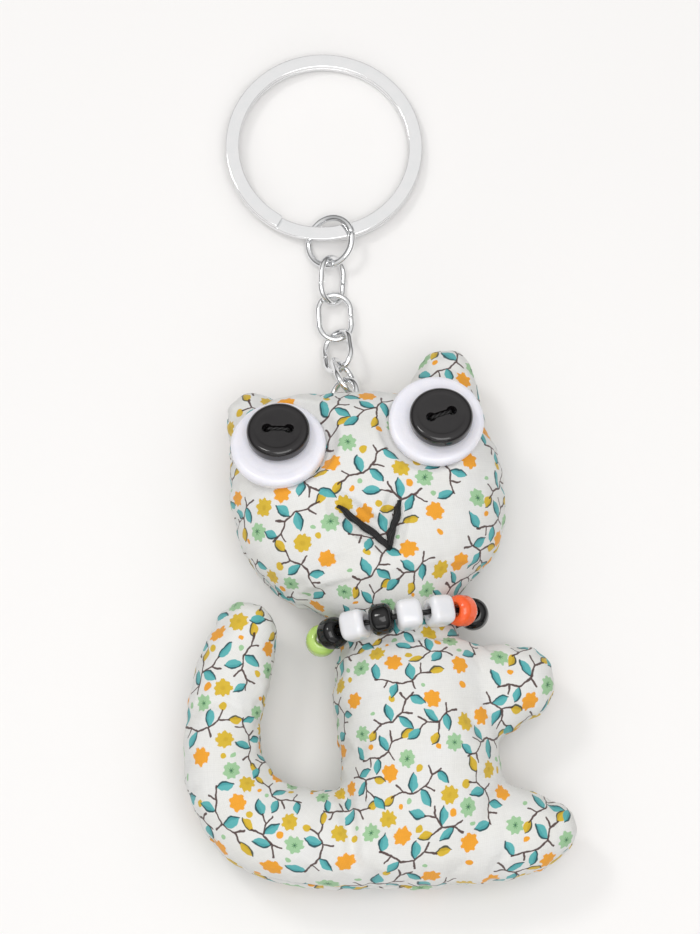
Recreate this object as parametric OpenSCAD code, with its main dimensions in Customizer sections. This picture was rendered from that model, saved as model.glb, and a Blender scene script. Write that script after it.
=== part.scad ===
// Plush cat keychain: a stuffed printed-cotton cat with button eyes and a bead
// necklace, hung from a welded chain and a flat split ring.
// It lies on its back: X to the cat's right in view, Y towards the ring, Z up.
// All lengths are millimetres.

/* [Plush cover] */
// Thickness of the cotton cover with its backing
cover_thickness = 0.8; // [0.4:0.1:2]
// Height of the sewn seam above the table
seam_height = 10; // [6:0.5:16]
// Thickness of the head above the seam
head_front = 11; // [6:0.5:16]
// Thickness of the head below the seam, before it flattens on the table
head_back = 11; // [6:0.5:16]
// Thickness of the belly above the seam
belly_front = 9.6; // [6:0.2:14]
// Thickness of the body below the seam, before it flattens on the table
belly_back = 10.6; // [6:0.2:14]
// Half thickness of the tail at its tip
tail_half = 5.4; // [3:0.2:8]
// Half thickness of the arm
arm_half = 5.2; // [3:0.2:8]
// Half thickness of the leg
leg_half = 6.6; // [3:0.2:9]
// Half thickness of the neck under the beads
neck_half = 5.9; // [4:0.1:8]
// Width from the neck's middle to its side
neck_side = 9.2; // [6:0.1:11]
// Air between the cover and the stuffing
fill_gap = 0.05; // [0.02:0.01:0.3]

/* [Eyes] */
// Diameter of the large white eye buttons
eye_disc_diameter = 14.8; // [10:0.1:20]
// Thickness of the large white eye buttons
eye_disc_thickness = 2.2; // [1:0.1:4]
// Diameter of the black buttons
eye_button_diameter = 9.8; // [6:0.1:14]
// Thickness of the black buttons
eye_button_thickness = 2.4; // [1:0.1:4]
// Diameter of the two sewing holes
eye_hole_diameter = 1.6; // [0.8:0.1:2.5]
// Distance between the two sewing holes
eye_hole_pitch = 3.4; // [2:0.1:5]
// Diameter of the sewing thread
eye_thread_diameter = 0.7; // [0.3:0.1:1.2]

/* [Mouth] */
// Thickness of the stitched mouth floss
mouth_thickness = 1.0; // [0.5:0.1:2]

/* [Necklace] */
// Outside diameter of a bead
bead_diameter = 4.9; // [3:0.1:6]
// Diameter of the hole through a bead
bead_hole_diameter = 1.8; // [1.2:0.1:3]
// Diameter of the necklace cord
cord_diameter = 1.0; // [0.4:0.1:1.5]
// Half width of the necklace loop
loop_half_width = 12.0; // [10:0.1:14]
// Half height of the necklace loop
loop_half_height = 9.0; // [7:0.1:12]

/* [Chain] */
// Wire diameter of the chain links
link_wire = 1.0; // [0.6:0.1:1.6]
// Inside width of a chain link
link_inside_width = 4.2; // [3:0.1:6]
// Inside length of a chain link
link_inside_length = 6.5; // [4:0.1:9]
// Wire diameter of the small round ring
small_ring_wire = 1.1; // [0.8:0.1:1.6]
// Inside diameter of the small round ring
small_ring_inside = 6.9; // [5:0.1:9]
// Wire diameter of the ring sewn into the head
head_ring_wire = 1.0; // [0.8:0.1:1.6]
// Inside diameter of the ring sewn into the head
head_ring_inside = 4.2; // [3:0.1:6]
// Opening left where a link or ring is bent shut
joint_gap = 0.12; // [0.05:0.01:0.3]

/* [Split ring] */
// Outside diameter of the split ring
split_ring_diameter = 32; // [20:0.5:40]
// Width of the flat band
split_ring_band = 2.15; // [1.2:0.05:4]
// Thickness of one turn of the band
split_ring_turn = 0.95; // [0.6:0.05:1.6]
// Air between the two turns
split_ring_air = 0.1; // [0.05:0.01:0.4]
// Angle taken by the slope from one turn to the other
split_ring_slope = 39; // [12:1:60]

/* [Hidden] */

// Moves the drawing onto the middle of the part's footprint
middle = [0.14, -0.26, 0];

WHITE_CLOTH = [0.93, 0.93, 0.90];
CREAM_FILL = [0.95, 0.94, 0.90];
PEARL_WHITE = [0.94, 0.94, 0.97];
GLOSS_BLACK = [0.05, 0.05, 0.06];
NICKEL = [0.80, 0.80, 0.82];
LIME = [0.72, 0.86, 0.45];
ORANGE = [1.0, 0.43, 0.18];

// ---------- helpers ----------

// A cushion section is a little squarer than an ellipse
fullness = 2.25;
function squared(v) = sign(v) * pow(abs(v), 2 / fullness);
function ring_points(s, n) = [for (i = [0:n - 1])
    let (a = 360 * i / n, c = squared(cos(a)), q = squared(sin(a)))
    [s[0] - sin(s[2]) * s[3] * c, s[1] + cos(s[2]) * s[3] * c,
     seam_height + s[4] + (q > 0 ? s[5] : s[6]) * q]];

// Extra stations on a smooth curve through the given ones
function between(a, b, c, d) = (9 * (b + c) - (a + d)) / 16;
function refined(st) = let (m = len(st)) [for (i = [0:2 * m - 2])
    i % 2 == 0 ? st[i / 2]
    : let (k = (i - 1) / 2) between(st[max(k - 1, 0)], st[k], st[k + 1], st[min(k + 2, m - 1)])];

// One station is [x, y, heading, half width, lift, half above, half below]
function shrink(s, t) = [s[0], s[1], s[2], s[3] - t, s[4], s[5] - t, s[6] - t];
function scaled(s, k) = [s[0], s[1], s[2], s[3] * k, s[4], s[5] * k, s[6] * k];
function moved(s, d) = [s[0] + d * cos(s[2]), s[1] + d * sin(s[2]), s[2], s[3], s[4], s[5], s[6]];

// A rounded end grows out of the first and last station
function with_ends(st, first_end, last_end) = concat(
    [for (a = [80, 58, 38, 18]) scaled(moved(st[0], -first_end * sin(a)), cos(a))],
    st,
    [for (a = [18, 38, 58, 80]) scaled(moved(st[len(st) - 1], last_end * sin(a)), cos(a))]);

module stuffed(stations, first_end, last_end, skin, n) {
    st = skin > 0 ? stations : refined(stations);
    all_st = with_ends([for (s = st) shrink(s, skin)], first_end - skin, last_end - skin);
    m = len(all_st);
    points = [for (s = all_st) each ring_points(s, n)];
    sides = [for (k = [0:m - 2], i = [0:n - 1])
        let (a = k * n + i, b = k * n + (i + 1) % n)
        each [[a, b + n, b], [a, a + n, b + n]]];
    polyhedron(points, concat([[for (i = [0:n - 1]) i]], sides,
        [[for (i = [n - 1:-1:0]) (m - 1) * n + i]]), convexity = 6);
}

// ---------- plush form ----------

// Head, from the chin up: heading 90 points to the ring
head_stations = [
    [0.6, -23.4, 98, 12.8, 0, 7.4, 7.8],
    [-0.6, -20.8, 95, 15.9, 0, 9.1, 9.5],
    [-1.3, -17.4, 92, 18.8, 0, 10.3, 10.4],
    [-1.6, -13.5, 90, 20.5, 0, 10.9, head_back],
    [-1.9, -8.5, 90, 21.3, 0, head_front, head_back],
    [-2.2, -3.5, 90, 21.2, 0, head_front, head_back],
    [-2.8, 0.8, 90, 20.6, 0, 10.5, 10.4],
    [-3.4, 4.0, 90, 19.5, 0, 9.0, 8.8]];
left_ear_stations = [
    [-17.6, 0.6, 118, 5.6, 0, 6.8, 6.6],
    [-19.2, 3.6, 118, 4.4, 0, 5.4, 5.2],
    [-20.3, 5.6, 118, 3.4, 0, 4.2, 4.0]];
right_ear_stations = [
    [8.0, 1.0, 78, 8.4, 0, 7.8, 7.6],
    [9.2, 5.6, 80, 6.5, 0, 6.4, 6.2],
    [10.0, 9.4, 82, 4.9, 0, 5.0, 4.8],
    [10.4, 12.4, 84, 3.7, 0, 4.0, 3.8]];
neck_stations = [
    [1.9, -22.0, 278, neck_side, 0, neck_half, neck_half],
    [2.6, -28.4, 278, neck_side, 0, neck_half, neck_half],
    [3.4, -36.0, 278, neck_side, 0, neck_half, neck_half]];
body_stations = [
    [4.0, -33.3, 278, 11.1, 0, 7.0, 7.4],
    [4.6, -36.0, 275, 11.7, 0, 8.7, 9.2],
    [5.1, -40.0, 270, 12.2, 0, 9.4, 10.2],
    [5.6, -45.0, 270, 12.2, 0, belly_front, belly_back],
    [6.2, -50.0, 270, 12.1, 0, belly_front, belly_back],
    [6.2, -55.0, 270, 12.6, 0, belly_front, belly_back],
    [5.8, -60.0, 270, 12.8, 0, 9.0, 10.0],
    [5.6, -64.2, 270, 11.2, 0, 7.0, 7.6]];
tail_stations = [
    [-21.0, -29.4, 260, 4.7, 0, tail_half, tail_half],
    [-22.3, -34.0, 255, 5.5, 0, tail_half, tail_half],
    [-23.6, -39.0, 256, 5.6, 0, tail_half, tail_half],
    [-24.3, -44.0, 265, 5.6, 0, tail_half + 0.1, tail_half + 0.1],
    [-24.2, -49.0, 276, 5.9, 0, tail_half + 0.3, tail_half + 0.3],
    [-22.7, -54.0, 298, 6.4, 0, tail_half + 0.6, tail_half + 0.6],
    [-19.4, -58.3, 324, 6.9, 0, tail_half + 1.0, tail_half + 1.0],
    [-14.6, -60.5, 346, 7.1, 0, tail_half + 1.4, tail_half + 1.4],
    [-9.0, -61.3, 354, 7.1, 0, tail_half + 1.8, tail_half + 1.8],
    [-2.6, -61.9, 358, 6.7, 0, tail_half + 2.0, tail_half + 2.2],
    [4.0, -62.1, 360, 6.4, 0, tail_half + 1.6, tail_half + 1.8]];
arm_stations = [
    [10.0, -39.4, 8, 7.6, 0, arm_half + 1.4, arm_half + 1.6],
    [15.0, -38.5, 8, 7.5, 0, arm_half + 0.6, arm_half + 0.8],
    [19.0, -37.8, 10, 7.0, 0, arm_half, arm_half],
    [22.4, -36.8, 12, 5.4, 0, arm_half - 0.8, arm_half - 0.8]];
leg_stations = [
    [9.0, -60.3, 0, 8.0, 0, leg_half + 0.8, leg_half + 1.0],
    [15.0, -60.3, 0, 7.8, 0, leg_half, leg_half + 0.2],
    [20.0, -60.2, 2, 6.9, 0, leg_half - 0.5, leg_half - 0.4],
    [24.6, -60.1, 5, 5.5, 0, leg_half - 1.4, leg_half - 1.4],
    [27.2, -59.6, 10, 3.7, 0, leg_half - 2.4, leg_half - 2.4]];

module plush_form(skin) {
    difference() {
        union() {
            stuffed(head_stations, 3.2, 4.8, skin, 26);
            stuffed(left_ear_stations, 3, 3.2, skin, 14);
            stuffed(right_ear_stations, 3, 3.7, skin, 14);
            stuffed(neck_stations, 1.5, 1.5, skin, 20);
            stuffed(body_stations, 2.4, 4.4, skin, 22);
            stuffed(tail_stations, 4.7, 3, skin, 18);
            stuffed(arm_stations, 3, 4.2, skin, 16);
            stuffed(leg_stations, 3, 2.6, skin, 16);
        }
        translate([-60, -100, skin - 60]) cube([120, 160, 60]);
        eye_seat(left_eye, skin);
        eye_seat(right_eye, skin);
        mouth_left(skin + 0.02);
        mouth_right(skin + 0.02);
        head_ring_tunnel();
    }
}

module cover() difference() {
    plush_form(0);
    plush_form(cover_thickness);
}

module front_panel() place() color(WHITE_CLOTH) intersection() {
    cover();
    translate([-60, -100, seam_height]) cube([120, 160, 60]);
}

module back_panel() place() color(WHITE_CLOTH) difference() {
    cover();
    translate([-60, -100, seam_height]) cube([120, 160, 60]);
}

module stuffing() place() color(CREAM_FILL) plush_form(cover_thickness + fill_gap);

// ---------- eyes ----------

// An eye is [middle of the large button's underside, tilt, tilt direction,
//            black button's offset along the tilt, offset across it,
//            direction of its holes, black button's own extra tilt]
left_eye = [[-15.8, -1.7, 18.4], 16, 100, 0.8, -0.3, -13, 3];
right_eye = [[8.6, 2.2, 18.6], 9, 84, -0.6, -0.7, 27, 7];

module on_eye(e) translate(e[0]) rotate([0, 0, e[2]]) rotate([0, e[1], 0]) children();

// The cloth dips under the large button
module eye_seat(e, skin) on_eye(e) translate([0, 0, -0.02 - skin])
    cylinder(d = eye_disc_diameter + 0.1 + 2 * skin, h = 14, $fn = 60);

module thread_holes(depth, above) for (side = [-1, 1])
    translate([0, side * eye_hole_pitch / 2, -depth])
        cylinder(d = eye_hole_diameter, h = depth + above);

module eye_disc(e) on_eye(e) difference() {
    rotate_extrude($fn = 96) eye_disc_profile();
    translate([e[3], e[4], 0]) rotate([0, 0, e[5]]) thread_holes(1, eye_disc_thickness + 2);
}

// The black button leans a little further than the white one and rests on its far edge
module on_button(e) on_eye(e)
    translate([e[3], e[4], eye_disc_thickness + 0.02 + 4.2 * sin(e[6])])
        rotate([0, e[6], 0]) rotate([0, 0, e[5]]) children();

// Half the section of a button: flat faces and rounded edges
module button_profile(r, t, corner) {
    square([r - corner, t]);
    translate([0, corner]) square([r, t - 2 * corner]);
    for (z = [corner, t - corner]) translate([r - corner, z]) circle(r = corner, $fn = 48);
}

module eye_disc_profile() button_profile(eye_disc_diameter / 2, eye_disc_thickness, 0.85);

module eye_button(e) on_button(e) difference() {
    rotate_extrude($fn = 80) eye_button_profile();
    thread_holes(1, eye_button_thickness + 2);
    translate([0, 0, eye_button_thickness - 0.75]) thread_groove();
}

module eye_button_profile() button_profile(eye_button_diameter / 2, eye_button_thickness, 0.75);

// The shallow channel between the holes that the thread lies in
module thread_groove() translate([-0.6, -eye_hole_pitch / 2, 0]) cube([1.2, eye_hole_pitch, 2]);

// A short visible stitch with both legs running down through the buttons
module eye_thread(e) on_button(e) {
    top = eye_button_thickness - 0.73 + eye_thread_diameter / 2;
    half = eye_hole_pitch / 2;
    reach = eye_disc_thickness - 0.4;
    for (side = [-1, 1]) translate([0, side * half, -reach]) {
        cylinder(d = eye_thread_diameter, h = top + reach);
        translate([0, 0, top + reach]) sphere(d = eye_thread_diameter);
    }
    translate([0, -half, top]) rotate([-90, 0, 0])
        cylinder(d = eye_thread_diameter, h = 2 * half);
}

module left_eye_disc() place() color(PEARL_WHITE) eye_disc(left_eye);
module right_eye_disc() place() color(PEARL_WHITE) eye_disc(right_eye);
module left_eye_button() place() color(GLOSS_BLACK) eye_button(left_eye);
module right_eye_button() place() color(GLOSS_BLACK) eye_button(right_eye);
module left_eye_thread() place() color(GLOSS_BLACK) eye_thread(left_eye);
module right_eye_thread() place() color(GLOSS_BLACK) eye_thread(right_eye);

// ---------- mouth ----------

mouth_corner = [1.2, -17.6, 20.1];
mouth_left_end = [-6.4, -11.6, 20.6];
mouth_right_end = [2.9, -10.8, 20.75];

module stitch(a, b, extra) {
    d = b - a;
    length = norm(d);
    radius = mouth_thickness / 2 + extra;
    translate(a) rotate([0, acos(d[2] / length), atan2(d[1], d[0])]) {
        cylinder(r = radius, h = length, $fn = 24);
        sphere(r = radius, $fn = 24);
        translate([0, 0, length]) sphere(r = radius, $fn = 24);
    }
}

module mouth_left(extra) difference() {
    stitch(mouth_left_end, mouth_corner, extra);
    if (extra == 0) stitch(mouth_right_end, mouth_corner, 0.02);
}
module mouth_right(extra) stitch(mouth_right_end, mouth_corner, extra);
module mouth_left_stitch() place() color(GLOSS_BLACK) mouth_left(0);
module mouth_right_stitch() place() color(GLOSS_BLACK) mouth_right(0);

// ---------- necklace ----------

loop_centre = [2.6, -28.4, 10];
loop_turn = 10.0;
loop_lean = -0.7;

module on_loop() translate(loop_centre) rotate([0, 0, loop_turn]) rotate([loop_lean, 0, 0]) children();

function loop_point(a) = [loop_half_width * cos(a), 0, loop_half_height * sin(a)];
function loop_heading(a) = atan2(loop_half_height * cos(a), -loop_half_width * sin(a));

module loop_tube(from, to, steps, d, n) {
    points = [for (k = [0:steps]) let (a = from + (to - from) * k / steps, p = loop_point(a),
            h = loop_heading(a))
        each [for (i = [0:n - 1]) let (q = 360 * i / n)
            p + d / 2 * [cos(q) * sin(h), sin(q), -cos(q) * cos(h)]]];
    sides = [for (k = [0:steps - 1], i = [0:n - 1])
        let (a = k * n + i, b = k * n + (i + 1) % n)
        each [[a, b + n, b], [a, a + n, b + n]]];
    polyhedron(points, concat([[for (i = [0:n - 1]) i]], sides,
        [[for (i = [n - 1:-1:0]) steps * n + i]]));
}

// The cord starts and ends inside the knot at the back of the neck
module necklace_cord() place() color(GLOSS_BLACK)
    on_loop() loop_tube(-86, 266, 60, cord_diameter, 8);

module necklace_knot() place() color(GLOSS_BLACK) on_loop()
    translate([0, 0, -loop_half_height + 0.35]) rotate([0, 90, 0])
        rotate_extrude($fn = 40) knot_profile();

module knot_profile() intersection() {
    translate([-0.0, 0]) circle(d = 2.0, $fn = 32);
    translate([0, -3]) square([3, 6]);
}

module round_bead() rotate_extrude($fn = 48) round_bead_profile();

module round_bead_profile() {
    outer = bead_diameter / 2;
    round = 1.3;
    intersection() {
        union() {
            for (side = [-1, 1]) translate([outer - round, side * 0.5]) circle(r = round, $fn = 48);
            translate([0, -0.5]) square([outer, 1.0]);
            translate([0, -0.5 - round]) square([outer - round, 2 * round + 1.0]);
        }
        translate([bead_hole_diameter / 2, -3]) square([4, 6]);
    }
}

module block_bead() difference() {
    side = bead_diameter - 0.3;
    intersection() {
        linear_extrude(height = 6, center = true) rounded_square(side, side, 1.4);
        rotate([90, 0, 0]) linear_extrude(height = 6, center = true) rounded_square(side, 4.0, 1.1);
        rotate([0, 90, 0]) linear_extrude(height = 6, center = true) rounded_square(4.0, side, 1.1);
    }
    cylinder(d = bead_hole_diameter, h = 8, center = true, $fn = 40);
}

module rounded_square(wide, tall, corner) {
    x = wide / 2 - corner;
    y = tall / 2 - corner;
    square([wide, 2 * y], center = true);
    square([2 * x, tall], center = true);
    for (u = [-x, x], v = [-y, y]) translate([u, v]) circle(r = corner, $fn = 32);
}

// Angles round the loop, from the cat's left to its right
bead_angles = [175.6, 147.5, 123.6, 102.4, 82.0, 57.4, 33.7, 5.8];

module on_bead(i) place() on_loop() translate(loop_point(bead_angles[i]))
    rotate([0, 90 - loop_heading(bead_angles[i]), 0]) children();

module bead_green() on_bead(0) color(LIME) round_bead();
module bead_black_left() on_bead(1) color(GLOSS_BLACK) round_bead();
module bead_white_left() on_bead(2) color(PEARL_WHITE) block_bead();
module bead_black_middle() on_bead(3) color(GLOSS_BLACK) round_bead();
module bead_white_middle() on_bead(4) color(PEARL_WHITE) block_bead();
module bead_white_right() on_bead(5) color(PEARL_WHITE) block_bead();
module bead_orange() on_bead(6) color(ORANGE) round_bead();
module bead_black_right() on_bead(7) color(GLOSS_BLACK) round_bead();

// ---------- chain ----------

// A link lies as [centre, yaw, pitch, roll]
head_ring_pose = [[-5.67, 9.36, 9.33], 8.8, -16.9, -39.6];
link_4_pose = [[-5.51, 12.97, 6.75], 13.4, -37.3, 59.3];
link_3_pose = [[-6.68, 18.25, 3.41], 6.9, -24.0, -38.7];
link_2_pose = [[-7.17, 24.26, 2.22], 3.4, -1.2, 5.7];
link_1_pose = [[-7.61, 30.38, 2.49], -3.7, 0.1, 48.7];
small_ring_pose = [[-7.95, 36.91, 2.73], 0, -0.3, -28.0];

module posed(p) translate(p[0]) rotate([0, 0, p[1]]) rotate([p[2], 0, 0]) rotate([0, p[3], 0]) children();

module wire_ring(inside, wire, gap_at, gap) difference() {
    rotate_extrude($fn = 72) translate([inside / 2 + wire / 2, 0]) circle(d = wire, $fn = 32);
    rotate([0, 0, gap_at]) translate([inside / 2 - 0.5, -gap / 2, -wire]) cube([wire + 1, gap, 2 * wire]);
}

module wire_link(gap_side) {
    r = link_inside_width / 2 + link_wire / 2;
    straight = link_inside_length - link_inside_width;
    difference() {
        union() {
            translate([0, straight / 2, 0])
                rotate_extrude(angle = 180, $fn = 72) translate([r, 0]) circle(d = link_wire, $fn = 32);
            translate([0, -straight / 2, 0]) rotate([0, 0, 180])
                rotate_extrude(angle = 180, $fn = 72) translate([r, 0]) circle(d = link_wire, $fn = 32);
            for (side = [-1, 1]) translate([side * r, straight / 2, 0]) rotate([90, 0, 0])
                cylinder(d = link_wire, h = straight, $fn = 32);
        }
        translate([gap_side * r, 0, 0]) cube([2 * link_wire, joint_gap, 2 * link_wire], center = true);
    }
}

// The hole the ring wears through the cloth, with room for the ring to turn
module head_ring_tunnel() posed(head_ring_pose) rotate_extrude($fn = 40)
    translate([head_ring_inside / 2 + head_ring_wire / 2, 0]) circle(d = head_ring_wire + 0.3, $fn = 16);

module head_ring() place() color(NICKEL) posed(head_ring_pose)
    wire_ring(head_ring_inside, head_ring_wire, 200, joint_gap);
module chain_link_4() place() color(NICKEL) posed(link_4_pose) wire_link(1);
module chain_link_3() place() color(NICKEL) posed(link_3_pose) wire_link(-1);
module chain_link_2() place() color(NICKEL) posed(link_2_pose) wire_link(1);
module chain_link_1() place() color(NICKEL) posed(link_1_pose) wire_link(1);
module small_ring() place() color(NICKEL) posed(small_ring_pose)
    wire_ring(small_ring_inside, small_ring_wire, 12, joint_gap);

// ---------- split ring ----------

split_ring_pose = [[-9.0, 53.1, 1.9], 0, -2.1, 2.0];
// Where the upper turn's cut end lies, counter-clockwise from +X
split_ring_end = 241;

// Two flat turns joined by a short slope, as one springy band
module split_ring_solid() {
    inner = split_ring_diameter / 2 - split_ring_band;
    step = split_ring_turn + split_ring_air;
    sweep = 360 - split_ring_slope;
    for (side = [-1, 1]) rotate([0, 0, split_ring_end + split_ring_slope])
        rotate_extrude(angle = sweep, $fn = 144)
            translate([inner, side * step / 2 - split_ring_turn / 2])
                square([split_ring_band, split_ring_turn]);
    rotate([0, 0, split_ring_end]) split_ring_slope_part(inner, step);
}

// The slope is a little thinner and narrower than the turns, and its ends run one degree into them
module split_ring_slope_part(inner, step) {
    radius = inner + split_ring_band / 2;
    rise = atan2(step, 2 * radius * sin(split_ring_slope / 2));
    thick = split_ring_turn - 0.15;
    inset = 0.04;
    intersection() {
        rotate([0, 0, -1]) rotate_extrude(angle = split_ring_slope + 2, $fn = 144)
            translate([inner + inset, -3]) square([split_ring_band - 2 * inset, 6]);
        rotate([0, 0, split_ring_slope / 2]) rotate([rise, 0, 0])
            translate([0, -20, -thick * cos(rise) / 2]) cube([30, 40, thick * cos(rise)]);
    }
}

module split_ring() place() color(NICKEL) posed(split_ring_pose) split_ring_solid();

module place() translate(middle) children();

front_panel();
back_panel();
stuffing();
left_eye_disc();
right_eye_disc();
left_eye_button();
right_eye_button();
left_eye_thread();
right_eye_thread();
mouth_left_stitch();
mouth_right_stitch();
necklace_cord();
necklace_knot();
bead_green();
bead_black_left();
bead_white_left();
bead_black_middle();
bead_white_middle();
bead_white_right();
bead_orange();
bead_black_right();
head_ring();
chain_link_4();
chain_link_3();
chain_link_2();
chain_link_1();
small_ring();
split_ring();
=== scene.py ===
from contextlib import contextmanager
from functools import partialmethod
from math import atan2, copysign, cos, degrees, hypot, pi, sin

import bmesh
import bpy
import numpy as np
from mathutils import Matrix, Vector
from mathutils.kdtree import KDTree
from numpy.linalg import norm


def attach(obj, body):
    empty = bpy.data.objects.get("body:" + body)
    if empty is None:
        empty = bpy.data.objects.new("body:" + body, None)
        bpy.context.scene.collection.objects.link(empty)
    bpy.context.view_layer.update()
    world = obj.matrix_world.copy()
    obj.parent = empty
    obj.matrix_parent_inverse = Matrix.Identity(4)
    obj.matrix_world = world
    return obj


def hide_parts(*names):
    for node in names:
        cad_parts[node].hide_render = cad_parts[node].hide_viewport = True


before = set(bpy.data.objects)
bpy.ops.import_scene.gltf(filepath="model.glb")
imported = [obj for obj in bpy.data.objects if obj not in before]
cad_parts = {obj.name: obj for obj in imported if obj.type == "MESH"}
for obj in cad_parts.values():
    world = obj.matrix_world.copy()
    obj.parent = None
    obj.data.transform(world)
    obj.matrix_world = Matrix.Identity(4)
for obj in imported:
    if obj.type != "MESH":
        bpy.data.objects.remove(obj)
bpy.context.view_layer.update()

MM = 0.001
MIDDLE = np.array([0.14, -0.26, 0.0])  # the drawing's shift onto the footprint's middle, mm
SEAM = 10.0  # height of the sewn seam, mm
scene = bpy.context.scene


def rad(a):
    return a * pi / 180


def given(thing, **sets):
    for k, v in sets.items():
        setattr(thing, k, v)
    return thing


def linked(obj):
    scene.collection.objects.link(obj)
    return obj


# ---- camera

lens = given(bpy.data.cameras.new("camera"), sensor_fit="VERTICAL", sensor_height=36, lens=144.5, clip_start=0.01)
scene.camera = given(linked(bpy.data.objects.new("camera", lens)), rotation_euler=(rad(14), 0, 0),
                     location=(-4.61 * MM, -145.41 * MM, 582.18 * MM))


# ---- mesh helpers

def make_object(name, points_mm, faces):
    """points in drawing millimetres; the object ends up in the row frame, in metres."""
    mesh = bpy.data.meshes.new(name)
    mesh.from_pydata(((np.asarray(points_mm, float) + MIDDLE) * MM).tolist(), [], [list(f) for f in faces])
    mesh.validate()
    mesh.update()
    mesh.polygons.foreach_set("use_smooth", [True] * len(mesh.polygons))
    return linked(bpy.data.objects.new(name, mesh))


def copied(obj, name):
    copy = linked(obj.copy())
    copy.data = obj.data.copy()
    copy.name = copy.data.name = name
    return copy


def read(items, field, width=3, kind=float):
    """A property of mesh elements as an array, one row to an element."""
    out = np.zeros(len(items) * width, kind)
    items.foreach_get(field, out)
    return out if width == 1 else out.reshape(-1, width)


def coords(obj):
    return read(obj.data.vertices, "co") / MM - MIDDLE


def set_coords(obj, p):
    obj.data.vertices.foreach_set("co", ((p + MIDDLE) * MM).ravel())
    obj.data.update()


def edges_of(obj):
    return read(obj.data.edges, "vertices", 2, int)


def apply_modifiers(obj):
    deps = bpy.context.evaluated_depsgraph_get()
    mesh = bpy.data.meshes.new_from_object(obj.evaluated_get(deps), preserve_all_data_layers=True, depsgraph=deps)
    obj.modifiers.clear()
    old = obj.data
    obj.data = mesh
    bpy.data.meshes.remove(old)


@contextmanager
def edited(mesh):
    bm = bmesh.new()
    bm.from_mesh(mesh)
    yield bm
    bm.to_mesh(mesh)
    bm.free()


def relaxed(p, edges, times, share=0.5, weight=1.0):
    """Points drawn towards the mean of their neighbours."""
    n = len(p)
    count = np.bincount(edges.ravel(), minlength=n).clip(1)
    for _ in range(times):
        total = np.stack([np.bincount(edges[:, 0], p[edges[:, 1], k], n)
                          + np.bincount(edges[:, 1], p[edges[:, 0], k], n) for k in range(3)], 1)
        p = p + (total / count[:, None] - p) * share * weight
    return p


def turned_about(axis):
    return lambda a: np.array(Matrix.Rotation(rad(a), 3, axis))


rot_x, rot_y, rot_z = (turned_about(axis) for axis in "XYZ")


def unit(v):
    return v / norm(v)


def smoothstep(a, b, x):
    t = np.clip((x - a) / (b - a), 0, 1)
    return t * t * (3 - 2 * t)


def bell(x, wide):
    return np.exp(-(x / wide) ** 2)


def hills(p, size, seed):
    """Smooth random height, about -1 to 1, over points in mm; size is the width of a bump."""
    r = np.random.default_rng(seed)
    out = np.zeros(len(p))
    for o in range(2):
        for _ in range(7):
            d = unit(r.normal(size=3))
            k = 2 * pi / (size / 2 ** o) * r.uniform(0.7, 1.35)
            out += np.sin(p @ d * k + r.uniform(0, 6.28)) * 0.5 ** o
    return out / 4.2


def skin_faces(m, n, closed=False):
    """Quads over m sections of n points each, with a cap on each open end."""
    faces = []
    for i in range(m if closed else m - 1):
        a, b = i * n, ((i + 1) % m) * n
        faces += [(a + j, a + (j + 1) % n, b + (j + 1) % n, b + j) for j in range(n)]
    if not closed:
        faces += [tuple(range(n))[::-1], tuple((m - 1) * n + j for j in range(n))]
    return faces


def sweep(path, section, closed=False, scales=1.0):
    """Points and faces of a section (n x 2) carried along a path (m x 3) with little twist."""
    path, section = np.asarray(path, float), np.asarray(section, float)
    m, n = len(path), len(section)
    tangent = np.roll(path, -1, 0) - np.roll(path, 1, 0) if closed else np.gradient(path, axis=0)
    tangent /= norm(tangent, axis=1)[:, None]
    side = np.zeros_like(path)
    side[0] = unit(np.cross(tangent[0], [0.3, 0.2, 1.0]))
    for i in range(1, m):
        side[i] = unit(side[i - 1] - tangent[i] * (side[i - 1] @ tangent[i]))
    if closed:
        s = unit(side[-1] - tangent[0] * (side[-1] @ tangent[0]))
        miss = atan2(np.cross(s, side[0]) @ tangent[0], s @ side[0])
        for i in range(m):
            a = miss * i / m
            side[i] = side[i] * cos(a) + np.cross(tangent[i], side[i]) * sin(a)
    other = np.cross(tangent, side)
    k = np.ones(m) * scales
    pts = (path[:, None] + (side[:, None] * section[None, :, :1] + other[:, None] * section[None, :, 1:])
           * k[:, None, None]).reshape(-1, 3)
    return pts, skin_faces(m, n, closed)


def circle(r, n):
    a = np.arange(n) * 2 * pi / n
    return np.stack([np.cos(a), np.sin(a)], 1) * r


def joined(parts):
    pts, faces, base = [], [], 0
    for p, f in parts:
        pts.append(np.asarray(p, float))
        faces += [tuple(i + base for i in face) for face in f]
        base += len(p)
    return np.vstack(pts), faces


def moved(shape, r, t):
    return shape[0] @ r.T + t, shape[1]


def tube(path, radius, n, closed=False):
    """A wire or yarn with rounded ends."""
    path = np.asarray(path, float)
    if closed:
        return sweep(path, circle(radius, n), True)
    t0, t1 = unit(path[0] - path[1]), unit(path[-1] - path[-2])
    a = np.radians([80, 60, 40, 20])
    full = np.vstack([[path[0] + t0 * radius * sin(x) for x in a], path,
                      [path[-1] + t1 * radius * sin(x) for x in a[::-1]]])
    return sweep(full, circle(radius, n), scales=np.concatenate([np.cos(a), np.ones(len(path)), np.cos(a[::-1])]))


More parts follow.
